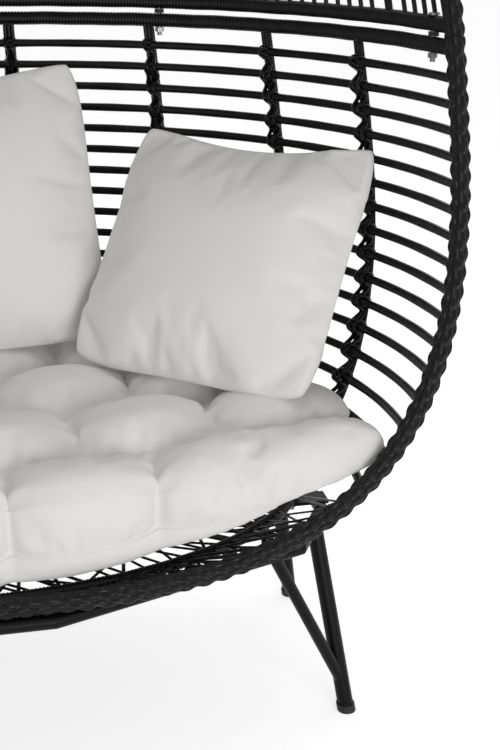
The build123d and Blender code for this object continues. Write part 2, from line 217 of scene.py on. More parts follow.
def makeWeaveGroup():
    # plain weave: threads over and under along the two directions of the map
    group = bpy.data.node_groups.new("clothWeave", "ShaderNodeTree")
    group.interface.new_socket("Vector", in_out="INPUT", socket_type="NodeSocketVector")
    group.interface.new_socket("Threads per Metre", in_out="INPUT", socket_type="NodeSocketFloat")
    for name in ("Height", "Gap"):
        group.interface.new_socket(name, in_out="OUTPUT", socket_type="NodeSocketFloat")
    entry = addNode(group, "NodeGroupInput", (-900, 0))
    leave = addNode(group, "NodeGroupOutput", (700, 0))
    link = group.links.new
    scaled = addNode(group, "ShaderNodeVectorMath", (-700, 0), operation="SCALE")
    link(entry.outputs["Vector"], scaled.inputs[0])
    link(entry.outputs["Threads per Metre"], scaled.inputs["Scale"])
    split = addNode(group, "ShaderNodeSeparateXYZ", (-500, 0))
    link(scaled.outputs["Vector"], split.inputs["Vector"])

    def calculate(operation, place, *values):
        node = addNode(group, "ShaderNodeMath", place, operation=operation)
        for socket, value in zip(node.inputs, values):
            if isinstance(value, (int, float)):
                socket.default_value = value
            else:
                link(value, socket)
        return node.outputs["Value"]

    waves = []
    for axis, other, low in (("X", "Y", 200), ("Y", "X", -200)):
        turned = calculate("MULTIPLY", (-300, low), split.outputs[axis], math.pi)
        crest = calculate("ABSOLUTE", (-100, low), calculate("SINE", (-200, low), turned))
        stepped = calculate("FLOOR", (-300, low - 80), split.outputs[axis])
        shifted = calculate("ADD", (-200, low - 80), split.outputs[other], stepped)
        over = calculate("SINE", (-50, low - 80), calculate("MULTIPLY", (-120, low - 80), shifted, math.pi))
        lifted = calculate("MULTIPLY_ADD", (50, low - 80), over, 0.5, 0.5)  # from 0, under, to 1, over
        waves.append(calculate("MULTIPLY", (100, low), crest, lifted))
    height = calculate("MAXIMUM", (300, 0), waves[0], waves[1])
    gap = calculate("SUBTRACT", (450, -100), 1.0, height)
    link(height, leave.inputs["Height"])
    link(gap, leave.inputs["Gap"])
    return group


mottleGroup = makeMottleGroup()
weaveGroup = makeWeaveGroup()

# the mottle blends two tones and the grain two roughnesses; the grain also raises the bump
finishes = {
    "wicker": {
        "dark": (0.0022, 0.0022, 0.0023, 1), "pale": (0.0055, 0.0053, 0.0052, 1), "rough": (0.2, 0.36),
        "mottle": 38, "grain": 620, "bump": 0.16, "metallic": 0.0, "reach": 0.0006, "shine": 0.17},
    "base_steel": {
        "dark": (0.0028, 0.0027, 0.0026, 1), "pale": (0.005, 0.0049, 0.0048, 1), "rough": (0.28, 0.4),
        "mottle": 14, "grain": 1400, "bump": 0.12, "metallic": 0.0, "reach": 0.0003, "shine": 0.12},
    "fastener_steel": {
        "dark": (0.15, 0.15, 0.155, 1), "pale": (0.26, 0.26, 0.27, 1), "rough": (0.3, 0.48),
        "mottle": 160, "grain": 2400, "bump": 0.08, "metallic": 1.0, "reach": 0.0002, "shine": 0.5},
    "glide_plastic": {
        "dark": (0.012, 0.012, 0.012, 1), "pale": (0.024, 0.024, 0.024, 1), "rough": (0.42, 0.6),
        "mottle": 60, "grain": 1800, "bump": 0.12, "metallic": 0.0, "reach": 0.0003, "shine": 0.25},
}


def makeHardFinish(name):
    look = finishes[name]
    material = bpy.data.materials.new(name + "Finish")
    material.use_nodes = True
    tree = material.node_tree
    link = tree.links.new
    shader = tree.nodes["Principled BSDF"]
    coordinates = addNode(tree, "ShaderNodeTexCoord", (-900, 0))
    mottle = addNode(tree, "ShaderNodeGroup", (-650, 0), node_tree=mottleGroup)
    mottle.inputs["Mottle Scale"].default_value = look["mottle"]
    mottle.inputs["Grain Scale"].default_value = look["grain"]
    link(coordinates.outputs["Object"], mottle.inputs["Vector"])
    colour = addNode(tree, "ShaderNodeMix", (-350, 200), data_type="RGBA")
    colour.inputs["A"].default_value = look["dark"]
    colour.inputs["B"].default_value = look["pale"]
    link(mottle.outputs["Mask"], colour.inputs["Factor"])
    link(colour.outputs["Result"], shader.inputs["Base Color"])
    rough = addNode(tree, "ShaderNodeMapRange", (-350, -50))
    rough.inputs["To Min"].default_value = look["rough"][0]
    rough.inputs["To Max"].default_value = look["rough"][1]
    link(mottle.outputs["Grain"], rough.inputs["Value"])
    link(rough.outputs["Result"], shader.inputs["Roughness"])
    bump = addNode(tree, "ShaderNodeBump", (-350, -300))
    bump.inputs["Strength"].default_value = look["bump"]
    bump.inputs["Distance"].default_value = look["reach"]
    link(mottle.outputs["Grain"], bump.inputs["Height"])
    link(bump.outputs["Normal"], shader.inputs["Normal"])
    shader.inputs["Metallic"].default_value = look["metallic"]
    shader.inputs["Specular IOR Level"].default_value = look["shine"]
    return material


# off-white woven cover: the darker colour is painted shade in the gaps between threads, and the cloth's own
# darker tone in thin slubs
fabric = {
    "thread": (0.82, 0.81, 0.795, 1), "shade": (0.76, 0.75, 0.735, 1), "threadsPerMetre": 1500, "mottle": 9,
    "grain": 420, "paintedGapShade": 0.55, "slubTone": 0.3, "bump": 0.12, "reach": 0.0003, "rough": 0.9,
    "sheen": 0.25}


def makeFabric():
    material = bpy.data.materials.new("cushionFabric")
    material.use_nodes = True
    tree = material.node_tree
    link = tree.links.new
    shader = tree.nodes["Principled BSDF"]
    coordinates = addNode(tree, "ShaderNodeTexCoord", (-1100, 0))
    weave = addNode(tree, "ShaderNodeGroup", (-800, 150), node_tree=weaveGroup)
    weave.inputs["Threads per Metre"].default_value = fabric["threadsPerMetre"]
    link(coordinates.outputs["UV"], weave.inputs["Vector"])
    mottle = addNode(tree, "ShaderNodeGroup", (-800, -150), node_tree=mottleGroup)
    mottle.inputs["Mottle Scale"].default_value = fabric["mottle"]
    mottle.inputs["Grain Scale"].default_value = fabric["grain"]
    link(coordinates.outputs["Object"], mottle.inputs["Vector"])
    # painted shade in the gaps between threads, plus the darker tone of the slubs, moves the colour towards
    # the darker one
    paintedShadeAndSlubMix = addNode(tree, "ShaderNodeMath", (-550, 200), operation="MULTIPLY_ADD")
    paintedShadeAndSlubMix.inputs[1].default_value = fabric["paintedGapShade"]
    link(weave.outputs["Gap"], paintedShadeAndSlubMix.inputs[0])
    slub = addNode(tree, "ShaderNodeMath", (-550, 0), operation="MULTIPLY")
    slub.inputs[1].default_value = fabric["slubTone"]
    link(mottle.outputs["Grain"], slub.inputs[0])
    link(slub.outputs["Value"], paintedShadeAndSlubMix.inputs[2])
    colour = addNode(tree, "ShaderNodeMix", (-300, 200), data_type="RGBA")
    colour.inputs["A"].default_value = fabric["thread"]
    colour.inputs["B"].default_value = fabric["shade"]
    link(paintedShadeAndSlubMix.outputs["Value"], colour.inputs["Factor"])
    link(colour.outputs["Result"], shader.inputs["Base Color"])
    bump = addNode(tree, "ShaderNodeBump", (-300, -250))
    bump.inputs["Strength"].default_value = fabric["bump"]
    bump.inputs["Distance"].default_value = fabric["reach"]
    link(weave.outputs["Height"], bump.inputs["Height"])
    link(bump.outputs["Normal"], shader.inputs["Normal"])
    shader.inputs["Roughness"].default_value = fabric["rough"]
    shader.inputs["Sheen Weight"].default_value = fabric["sheen"]
    return material


finishOf = {name: makeHardFinish(name) for name in finishes}
fabricFinish = makeFabric()
print("finishes made:", len(finishOf) + 1)

# wicker strands: how each kind of tube is wound
weave = {
    "stakes": 8, "period": 0.027, "height": 0.0042, "groove": 0.0012, "step": 0.0016, "sides": 56,
    "under": 0.25, "twist": 0.6, "stakeRound": 0.6, "crossRound": 0.7, "wander": 0.12, "wanderTurns": 37.0}
coil = {
    "pitch": 0.0055, "height": 0.0016, "step": 0.0009, "sides": 18, "round": 0.7, "wander": 0.0004,
    "wanderTurns": 61.0, "wanderTwist": 23.0}
strand = {"wander": 0.0003, "turns": 47.0, "swells": 19.0, "twist": 2.0}


def wovenRadius(radius):
    core = radius - weave["height"]

    def radiusAt(along, around):
        # stakes pass over and under, each out of step with its neighbour
        sway = weave["wander"] * np.sin(along * weave["wanderTurns"])
        place = around * weave["stakes"] / (2 * math.pi) + sway
        number = np.floor(place)
        stake = np.clip(np.sin(math.pi * (place % 1.0)), 0, 1) ** weave["stakeRound"]
        turn = 2 * math.pi * along / weave["period"]
        over = 0.5 + 0.5 * np.sin(turn + math.pi * number + weave["twist"] * place)
        lifted = weave["under"] + (1 - weave["under"]) * over ** weave["crossRound"]
        dip = weave["groove"] * np.abs(np.sin(turn))
        return core + weave["height"] * stake * lifted - dip * (1 - stake)

    return radiusAt


def coilRadius(radius):
    def radiusAt(along, around):
        ridge = np.abs(np.sin(math.pi * (along / coil["pitch"] - around / (2 * math.pi))))
        sway = np.sin(along * coil["wanderTurns"]) * np.cos(around + along * coil["wanderTwist"])
        raised = radius - coil["height"] + coil["height"] * ridge ** coil["round"]
        return raised - coil["wander"] + coil["wander"] * sway

    return radiusAt


def smoothRadius(radius, wander=strand["wander"]):
    def radiusAt(along, around):
        sway = np.sin(along * strand["turns"] + strand["twist"] * around) * np.cos(along * strand["swells"])
        return radius - wander + wander * sway

    return radiusAt


def wickerPiece(name, shapes, replaced):
    finishPiece(meshPiece(name, shapes), finishOf["wicker"], [replaced])


# rims: the basket's runs down from the two joints and the hood's up from them, in metres along the lean
rims = {
    "basketRimWeave": {"rises": -jointLength, "squareness": chair["rimSquareness"], "node": "basket_rim"},
    "hoodRimWeave": {"rises": hoodLength, "squareness": chair["hoodSquareness"], "node": "hood_rim"},
}
rimSteps = 260


def rimLine(rises, squareness):
    places = []
    for step in range(rimSteps + 1):
        angle = math.pi * step / rimSteps
        wide = math.copysign(abs(math.cos(angle)) ** (2 / squareness), math.cos(angle))
        tall = math.sin(angle) ** (2 / squareness)
        places.append(rimPlace(chair["rimHalfWidth"] * wide, jointLength + rises * tall))
    return places


for name, facts in rims.items():
    line = rimLine(facts["rises"], facts["squareness"])
    shape = tubeShape(line, weave["step"], weave["sides"], wovenRadius(chair["rimRadius"]))
    wickerPiece(name, [shape], facts["node"])
print("rims woven:", len(rims))

rails = {
    "basketRailCoil": {"height": railZ, "node": "basket_top_rail"},
    "hoodRailCoil": {"height": hoodRailZ, "node": "hood_bottom_rail"},
}
railSteps = 200

for name, facts in rails.items():
    line = [railPoint(facts["height"], -1 + 2 * step / railSteps) for step in range(railSteps + 1)]
    shape = tubeShape(line, coil["step"], coil["sides"], coilRadius(chair["railRadius"]))
    wickerPiece(name, [shape], facts["node"])
print("rails wound:", len(rails))

# level rods of the back; the skin is what the eye sees, the radius what the frame has
rods = {
    "radius": 0.006, "skin": 0.0069, "count": 16, "pitch": 0.0357, "firstDrop": 0.0415,
    "lineSteps": 120, "step": 0.006, "sides": 12}


def rodHeight(count):
    return railZ - rods["firstDrop"] - rods["pitch"] * (count - 1)


for count in range(1, rods["count"] + 1):
    z = rodHeight(count)
    line = [shellPoint(z, -1 + 2 * step / rods["lineSteps"]) for step in range(rods["lineSteps"] + 1)]
    shape = tubeShape(line, rods["step"], rods["sides"], smoothRadius(rods["skin"]))
    wickerPiece(f"backRod{count:02d}", [shape], f"back_rod_{count:02d}")
print("rods laid:", rods["count"])

# seat hoop on the base ring
hoop = {
    "radius": 0.01, "halfWidth": 0.5, "halfDepth": 0.32, "gap": 0.0003, "ribReach": 1.95, "lineSteps": 320,
    "step": 0.0012, "sides": 14}
hoopY = rimBottomY + chair["rimRadius"] + hoop["radius"] + hoop["gap"] + hoop["halfDepth"]
hoopZ = chair["rimBottomZ"]


def hoopPoint(angle, outward=0.0, lift=0.0):
    x = (hoop["halfWidth"] + outward) * math.sin(angle)
    return Vector((x, hoopY + (hoop["halfDepth"] + outward) * math.cos(angle), hoopZ + lift))


line = [hoopPoint(2 * math.pi * step / hoop["lineSteps"]) for step in range(hoop["lineSteps"] + 1)]
shape = tubeShape(line, hoop["step"], hoop["sides"], coilRadius(hoop["radius"]))
wickerPiece("seatHoopCoil", [shape], "seat_hoop")
print("hoop wound")

# ribs: strands behind the rods, two wraps at each rod, and bindings that weave between the rods
ribs = {
    "fractions": (0.11, 0.353, 0.57, 0.755), "outset": 0.0112, "across": 0.01, "upward": 0.006,
    "strandRadius": 0.0036, "strandSpread": 0.0062, "lineSteps": 90, "strandStep": 0.004, "strandSides": 8,
    "footSag": 0.004, "footShares": (0.25, 0.5, 0.75, 1.0),
    "wrapRadius": 0.003, "wrapHalfWidth": 0.0094, "wrapTilt": 0.0026, "wrapGap": 0.0014, "wrapPoints": 20,
    "wrapStep": 0.003, "wrapSides": 6, "wrapWander": 0.0001,
    "bindLanes": (-0.0058, 0.0, 0.0058), "bindRadius": 0.0036, "bindSwing": 0.004, "bindTurn": 2.1,
    "bindSteps": 10, "bindDip": 0.75, "bindPress": 0.6, "bindStep": 0.003, "bindSides": 8,
    "bindWander": 0.0002,
}


def shellAcross(z, fraction):
    return (shellPoint(z, fraction + ribs["across"]) - shellPoint(z, fraction - ribs["across"])).normalized()


def shellRise(z, fraction):
    return shellPoint(z + ribs["upward"], fraction) - shellPoint(z - ribs["upward"], fraction)


def behindRods(z, fraction, share=1.0):
    # the more the shell slopes, the further out a point at the same height lies behind a rod
    slope = shellRise(z, fraction).xy.length / (2 * ribs["upward"])
    return shellPoint(z, fraction, share * ribs["outset"] * math.sqrt(1 + slope**2))


def ribLine(fraction, sideways):
    # down behind the rods, then over to the shoulder of the hoop
    places = []
    lowest = rodHeight(rods["count"])
    for step in range(ribs["lineSteps"] + 1):
        z = railZ + (lowest - railZ) * step / ribs["lineSteps"]
        places.append(behindRods(z, fraction) + shellAcross(z, fraction) * sideways)
    angle = fraction * hoop["ribReach"]
    shoulder = hoop["radius"] * math.sin(math.pi / 4)
    tangent = (hoopPoint(angle + ribs["across"]) - hoopPoint(angle - ribs["across"])).normalized()
    foot = hoopPoint(angle, shoulder, shoulder) + tangent * sideways
    last = places[-1]
    for share in ribs["footShares"]:
        bend = last.lerp(foot, share)
        places.append(Vector((bend.x, bend.y, bend.z - math.sin(math.pi * share) * ribs["footSag"])))
    return places


def wrapLoop(z, fraction, tilt):
    middle = behindRods(z, fraction, 0.5)
    along = shellAcross(z, fraction)
    upward = shellRise(z, fraction).normalized()
    outward = along.cross(upward).normalized()
    depth = ribs["outset"] / 2 + rods["radius"] + ribs["wrapGap"]
    places = []
    for step in range(ribs["wrapPoints"] + 1):
        angle = 2 * math.pi * step / ribs["wrapPoints"]
        deep = outward * math.cos(angle) * depth
        wide = along * math.sin(angle) * ribs["wrapHalfWidth"]
        lift = upward * (math.sin(angle) * rods["radius"] + tilt * math.cos(angle))
        places.append(middle + deep + wide * (1 if tilt > 0 else -1) + lift)
    return places


def bindingLine(fraction, lane, turn):
    # passes before each rod, dips back between two rods and sways from side to side
    places = []
    rows = rods["count"] - 1
    for step in range(rows * ribs["bindSteps"] + 1):
        place = step / ribs["bindSteps"]
        z = rodHeight(1) - rods["pitch"] * place
        before = math.cos(math.pi * place) ** 2
        depth = ribs["outset"] * (1 - before) * ribs["bindDip"]
        depth -= before * (rods["skin"] + ribs["bindPress"] * ribs["bindRadius"])
        sway = lane + ribs["bindSwing"] * math.sin(math.pi * place + turn)
        places.append(behindRods(z, fraction, depth / ribs["outset"]) + shellAcross(z, fraction) * sway)
    return places


def ribShapes(fraction):
    shapes = []
    strandSkin = smoothRadius(ribs["strandRadius"])
    for lane in (-1, 0, 1):
        line = ribLine(fraction, lane * ribs["strandSpread"])
        shapes.append(tubeShape(line, ribs["strandStep"], ribs["strandSides"], strandSkin))
    wrapSkin = smoothRadius(ribs["wrapRadius"], ribs["wrapWander"])
    for count in range(1, rods["count"] + 1):
        for tilt in (-1, 1):
            loop = wrapLoop(rodHeight(count), fraction, tilt * ribs["wrapTilt"])
            shapes.append(tubeShape(loop, ribs["wrapStep"], ribs["wrapSides"], wrapSkin))
    bindSkin = smoothRadius(ribs["bindRadius"], ribs["bindWander"])
    for number, lane in enumerate(ribs["bindLanes"]):
        line = bindingLine(fraction, lane, ribs["bindTurn"] * number)
        shapes.append(tubeShape(line, ribs["bindStep"], ribs["bindSides"], bindSkin))
    return shapes


ribPlaces = [side * fraction for side in (-1, 1) for fraction in ribs["fractions"]]
for count, fraction in enumerate(ribPlaces, 1):
    wickerPiece(f"basketRib{count}", ribShapes(fraction), f"basket_rib_{count}")
print("ribs tied:", len(ribPlaces))

# hood: strands that fan from the lower rail to the rim
hood = {
    "fanReach": 0.33, "bulge": 0.16, "lineSteps": 60, "rodCount": 80, "rodRadius": 0.0038, "rodStep": 0.006,
    "rodSides": 10, "ribFractions": (0.36, 0.84), "ribClear": 0.6, "ribStrand": 0.0032, "ribSpread": 0.0056,
    "ribStep": 0.005, "ribSides": 8}


def hoodLine(fraction, sideways=0.0):
    foot = railPoint(hoodRailZ, fraction)
    topX = hood["fanReach"] * fraction
    topShare = roundedShare(abs(topX) / chair["rimHalfWidth"], chair["hoodSquareness"])
    top = rimPlace(topX, jointLength + hoodLength * topShare)
    middle = (foot + top) / 2
    jointMiddle = Vector((0, rimBottomY + jointLength * math.sin(lean), chair["jointZ"]))
    peak = middle + (middle - jointMiddle).normalized() * (top - foot).length * hood["bulge"]
    # the circle through foot, peak and top
    first = peak - foot
    second = top - foot
    normal = first.cross(second)
    inward = second.length_squared * normal.cross(first) - first.length_squared * normal.cross(second)
    centre = foot + inward / (2 * normal.length_squared)
    radius = (foot - centre).length
    start = (foot - centre) / radius
    turn = normal.normalized().cross(start)
    sweep = math.atan2((top - centre).dot(turn), (top - centre).dot(start))
    if sweep < 0:
        sweep += 2 * math.pi
    shift = normal.normalized() * sideways
    places = []
    for step in range(hood["lineSteps"] + 1):
        angle = sweep * step / hood["lineSteps"]
        places.append(centre + (start * math.cos(angle) + turn * math.sin(angle)) * radius + shift)
    return places


spacing = 2 / (hood["rodCount"] + 1)
hoodRibPlaces = [side * fraction for side in (-1, 1) for fraction in hood["ribFractions"]]
skin = smoothRadius(hood["rodRadius"])
shapes = []
for count in range(hood["rodCount"]):
    fraction = -1 + spacing * (count + 1)
    if all(abs(fraction - place) > spacing * hood["ribClear"] for place in hoodRibPlaces):
        shapes.append(tubeShape(hoodLine(fraction), hood["rodStep"], hood["rodSides"], skin))
wickerPiece("hoodRods", shapes, "hood_rods")
print("hood strands:", len(shapes))
skin = smoothRadius(hood["ribStrand"])
for count, fraction in enumerate(hoodRibPlaces, 1):
    lines = [hoodLine(fraction, lane * hood["ribSpread"]) for lane in (-1, 0, 1)]
    shapes = [tubeShape(line, hood["ribStep"], hood["ribSides"], skin) for line in lines]
    wickerPiece(f"hoodRib{count}", shapes, f"hood_rib_{count}")
print("hood ribs:", len(hoodRibPlaces))

# seat net: flat strands thrown across the hoop, and down to it from the rim
net = {
    "seed": 11, "thick": 0.0016, "wide": 0.0028, "sides": 8,
    "strands": 130, "sweep": (0.55, 1.0), "inset": 0.004, "sag": (-0.004, 0.001), "lineSteps": 12,
    "step": 0.03, "rimStrands": 64, "rimStart": 0.12, "rimRun": 0.6, "rimLineSteps": 6, "rimStep": 0.02,
    "footShare": 0.86, "footSway": 0.09, "footLimit": 0.48, "footShift": 0.003,
}
chance = random.Random(net["seed"])


def flatRadius(along, around):
    oval = (np.cos(around) / net["wide"]) ** 2 + (np.sin(around) / net["thick"]) ** 2
    return 1 / np.sqrt(oval) + 0 * along


def thrownLine():
    first = chance.uniform(0, 2 * math.pi)
    second = first + chance.uniform(*net["sweep"]) * math.pi
    start = hoopPoint(first, -net["inset"])
    end = hoopPoint(second, -net["inset"])
    drop = chance.uniform(*net["sag"])
    places = []
    for step in range(net["lineSteps"] + 1):
        share = step / net["lineSteps"]
        place = start.lerp(end, share)
        places.append(Vector((place.x, place.y, place.z + drop * math.sin(math.pi * share))))
    return places


def rimToHoopLine(side, number):
    share = net["rimStart"] + net["rimRun"] * (number + chance.random()) / net["rimStrands"]
    length = jointLength * (1 - roundedShare(share, chair["rimSquareness"]))
    start = rimPlace(side * share * chair["rimHalfWidth"], length)
    across = net["footShare"] * abs(start.x) + chance.uniform(-net["footSway"], net["footSway"])
    across = min(net["footLimit"], max(0.0, across))
    angle = side * (math.pi - math.asin(across / hoop["halfWidth"]))
    end = hoopPoint(angle, -net["footShift"], net["footShift"])
    return [start.lerp(end, step / net["rimLineSteps"]) for step in range(net["rimLineSteps"] + 1)]


shapes = [tubeShape(thrownLine(), net["step"], net["sides"], flatRadius) for number in range(net["strands"])]
for side in (-1, 1):
    for number in range(net["rimStrands"]):
        shapes.append(tubeShape(rimToHoopLine(side, number), net["rimStep"], net["sides"], flatRadius))
wickerPiece("seatNetStrands", shapes, "seat_net")
print("net strands:", len(shapes))

# kept frame pieces take their finish by a part of their name, the first that fits
keptFinishes = (
    ("bolts", "fastener_steel"), ("nuts", "fastener_steel"), ("spacers", "glide_plastic"),
    ("foot_", "glide_plastic"), ("base_", "base_steel"), ("leg_", "base_steel"), ("brace_", "base_steel"))
for name, piece in nodes.items():
    fitting = [finish for words, finish in keptFinishes if words in name]
    if fitting:
        for slot in piece.material_slots:
            slot.material = finishOf[fitting[0]]
print("frame pieces finished")


# helpers for soft pieces
def readPlaces(mesh):
    places = np.empty(len(mesh.vertices) * 3)
    mesh.vertices.foreach_get("co", places)
    return places.reshape(-1, 3)


def readNormals(mesh):
    normals = np.empty(len(mesh.vertices) * 3)
    mesh.vertices.foreach_get("normal", normals)
    return normals.reshape(-1, 3)


def writePlaces(mesh, places):
    mesh.vertices.foreach_set("co", places.reshape(-1))
    mesh.update()


def addWeaveMap(mesh, flat):
    # a flat place in metres for each point, so that the weave keeps its size
    layer = mesh.uv_layers.new(name="weaveMap")
    corners = np.empty(len(mesh.loops), dtype=int)
    mesh.loops.foreach_get("vertex_index", corners)
    layer.data.foreach_set("uv", flat[corners].reshape(-1))


def drapedMap(mesh):
    # the cover seen from above, run on down its front
    places = readPlaces(mesh)
    return np.stack([places[:, 0], places[:, 1] - places[:, 2]], axis=1)


def turnOutwards():
    bpy.ops.mesh.select_all(action="SELECT")
    bpy.ops.mesh.normals_make_consistent(inside=False)


def makeFiner(piece):
    finer = piece.modifiers.new("finer", "SUBSURF")
    finer.levels = finer.render_levels = 1
    bpy.ops.object.modifier_apply(modifier="finer")
    smoothFaces(piece.data)


pinLevels = 4


def inflateCloth(piece, look, pinned):
    # blows the cover up as cloth, held where it is pinned, and keeps each point within the cap
    mesh = piece.data
    before = readPlaces(mesh)
    pickOnly(piece)
    cloth = piece.modifiers.new("filling", "CLOTH")
    cover = cloth.settings
    cover.quality = look["quality"]
    cover.mass = look["mass"]
    cover.tension_stiffness = cover.compression_stiffness = look["stretch"]
    cover.shear_stiffness = look["shear"]
    cover.bending_stiffness = look["bend"]
    cover.shrink_min = -look["spare"]
    cover.use_pressure = True
    cover.uniform_pressure_force = look["pressure"]
    cover.effector_weights.gravity = 0
    cloth.collision_settings.use_collision = False
    sewn = piece.vertex_groups.new(name="sewn")
    for level in range(1, pinLevels + 1):
        members = np.flatnonzero((pinned > (level - 1) / pinLevels) & (pinned <= level / pinLevels))
        sewn.add(members.tolist(), level / pinLevels, "REPLACE")
    cover.vertex_group_mass = "sewn"
    scene = bpy.context.scene
    cloth.point_cache.frame_start = 1
    cloth.point_cache.frame_end = look["frames"]
    for frameNumber in range(1, look["frames"] + 1):
        scene.frame_set(frameNumber)
    bpy.ops.object.modifier_apply(modifier="filling")
    scene.frame_set(1)
    moved = readPlaces(mesh) - before
    far = np.linalg.norm(moved, axis=1)
    share = np.minimum(1.0, look["cap"] / np.maximum(far, 1e-9))
    writePlaces(mesh, before + moved * share[:, None])
    print(piece.name, "swelled by up to", round(float(far.max()), 4))


# seat cushion: fills the bowl, sewn into staggered puffs
seat = {
    # height over the hoop, inset from the rods, and how far behind the rim's lowest point it starts
    "sections": (
        (0.0003, 0.034, 0.034), (0.012, 0.02, 0.021), (0.03, 0.012, 0.014), (0.05, 0.009, 0.010),
        (0.08, 0.006, 0.008), (0.125, 0.003, 0.012), (0.15, 0.010, 0.034), (0.168, 0.036, 0.082),
        (0.177, 0.095, 0.150)),
    "levels": 28, "arcReach": 0.985, "arcSteps": 40, "frontSteps": 32, "endLift": 0.55, "liftEnd": 0.44,
    "voxel": 0.0088, "softening": 0.5, "smooth": 3,
    # puffs: columns across, rows from the front backwards, end puffs that run on
    "pitch": 0.203, "shift": 0.04, "rowDepths": (0.105, 0.165, 0.165, 0.165, 0.2), "rollStart": 0.02,
    "endSmooth": (0.36, 0.07, 0.6), "frontHeight": 0.125, "frontInset": 0.012, "frontReach": 0.012,
    "squareShare": 0.72, "ovalShare": 0.28, "ovalWide": 0.95, "seamDrop": 0.038, "fadeStart": 0.045,
    "fadeRun": 0.05,
    # gathers beside the sewn lines, and the piped seam round the side wall
    "gather": 0.0019, "gatherPitch": 0.034, "gatherReach": 0.024, "gatherRise": 0.03, "gatherSway": 3,
    "swayAcross": 11, "swayAlong": 13, "sideSeam": 0.046, "seamPull": 0.0025, "seamWide": 0.007,
    # how firmly the sewn lines and the wall under the seam are held
    "holdFull": 1.25, "holdFall": 5, "wallHold": 0.012,
    "filling": {"quality": 5, "mass": 0.3, "stretch": 12, "shear": 6, "bend": 0.3, "spare": 0.06,
                "pressure": 6.0, "frames": 16, "cap": 0.016},
}
seatZ = hoopZ + hoop["radius"]


def seatRing(height, inset, front):
    # round the back along the rods, then forward in one bow
    z = seatZ + height
    inwards = -rods["radius"] - inset
    ring = []
    for step in range(2 * seat["arcSteps"] + 1):
        ring.append(shellPoint(z, seat["arcReach"] * (-1 + step / seat["arcSteps"]), inwards))
    end = shellPoint(z, seat["arcReach"], inwards)
    frontY = rimBottomY + front
    rise = end.y - frontY
    radius = (end.x**2 + rise**2) / (2 * rise)
    sweep = math.asin(max(-1.0, min(1.0, end.x / radius)))
    if rise > abs(radius):
        sweep = math.pi - sweep
    for step in range(1, 2 * seat["frontSteps"]):
        angle = sweep * (1 - step / seat["frontSteps"])
        ring.append(Vector((radius * math.sin(angle), frontY + radius * (1 - math.cos(angle)), z)))
    return ring


def seatFrontY(x):
    front = rimBottomY + seat["frontReach"]
    end = shellPoint(seatZ + seat["frontHeight"], seat["arcReach"], -rods["radius"] - seat["frontInset"])
    rise = end.y - front
    radius = (end.x**2 + rise**2) / (2 * rise)
    return front + radius - np.sqrt(np.maximum(radius**2 - x**2, 0.0))


def seatPuff(x, y):
    # 1 on the crest of a puff, 0 on its sewn lines, which are shallow at the two ends; and the gathers
    behind = y - seatFrontY(x)
    along = np.ones_like(x)
    across = np.ones_like(x)
    edge, run, share = seat["endSmooth"]
    plain = 1 - share * np.clip((np.abs(x) - edge) / run, 0, 1)
    start = 0.0
    for row, depth in enumerate(seat["rowDepths"]):
        if row == 0:
            inside = behind < depth
            place = np.clip((behind - seat["rollStart"]) / (depth - seat["rollStart"]), 0, 1)
        else:
            inside = (behind >= start) & (behind < start + depth)
            place = 2 * (behind - start) / depth - 1
        column = ((x - seat["shift"]) / seat["pitch"] + (row % 2) / 2) % 1.0
        along = np.where(inside, place, along)
        across = np.where(inside, (2 * column - 1) * plain, across)
        start += depth
    square = np.sqrt(np.clip((1 - along**2) * (1 - across**2), 0, 1))
    oval = np.sqrt(np.clip(1 - seat["ovalWide"] * (along**2 + across**2), 0, 1))
    # small gathers stand across the sewn lines and die away from them
    turn = 2 * math.pi / seat["gatherPitch"]
    besideColumn = (1 - np.abs(across)) * seat["pitch"] / 2 / seat["gatherReach"]
    besideRow = (1 - np.abs(along)) * seat["rowDepths"][1] / 2 / seat["gatherReach"]
    columnSway = seat["gatherSway"] * np.sin(seat["swayAcross"] * x)
    rowSway = seat["gatherSway"] * np.sin(seat["swayAlong"] * y)
    gathers = np.sin(turn * behind + columnSway) * np.exp(-(besideColumn**2))
    gathers = gathers + np.sin(turn * x + rowSway) * np.exp(-(besideRow**2))
    return seat["squareShare"] * square + seat["ovalShare"] * oval, gathers


def seatLift(x, height):
    # the underside rises towards the ends with the bowl
    outwards = seat["liftEnd"] * np.tanh(np.abs(x) / seat["liftEnd"])
    return seat["endLift"] * outwards**2 * np.clip(1 - height / seat["frontHeight"], 0, 1)


def seatSeamZ(x):
    return seatZ + seat["sideSeam"] + seatLift(x, seat["sideSeam"])


def seatBlock():
    # the plain filling: rings from the underside to the crown, closed at both ends
    table = np.array(seat["sections"])
    heights = np.linspace(table[0, 0], table[-1, 0], seat["levels"])
    insets = np.interp(heights, table[:, 0], table[:, 1])
    fronts = np.interp(heights, table[:, 0], table[:, 2])
    rings = [seatRing(*section) for section in zip(heights, insets, fronts)]
    count = len(rings[0])
    points = np.array([tuple(place) for ring in rings for place in ring])
    points[:, 2] += seatLift(points[:, 0], points[:, 2] - seatZ)
    faces = []
    for level in range(len(rings) - 1):
        low = level * count
        high = low + count
        for step in range(count):
            following = (step + 1) % count
            faces.append([low + step, high + step, high + following, low + following])
    faces.append(list(range(count)))
    faces.append(list(range((len(rings) - 1) * count, len(rings) * count))[::-1])
    return points, faces


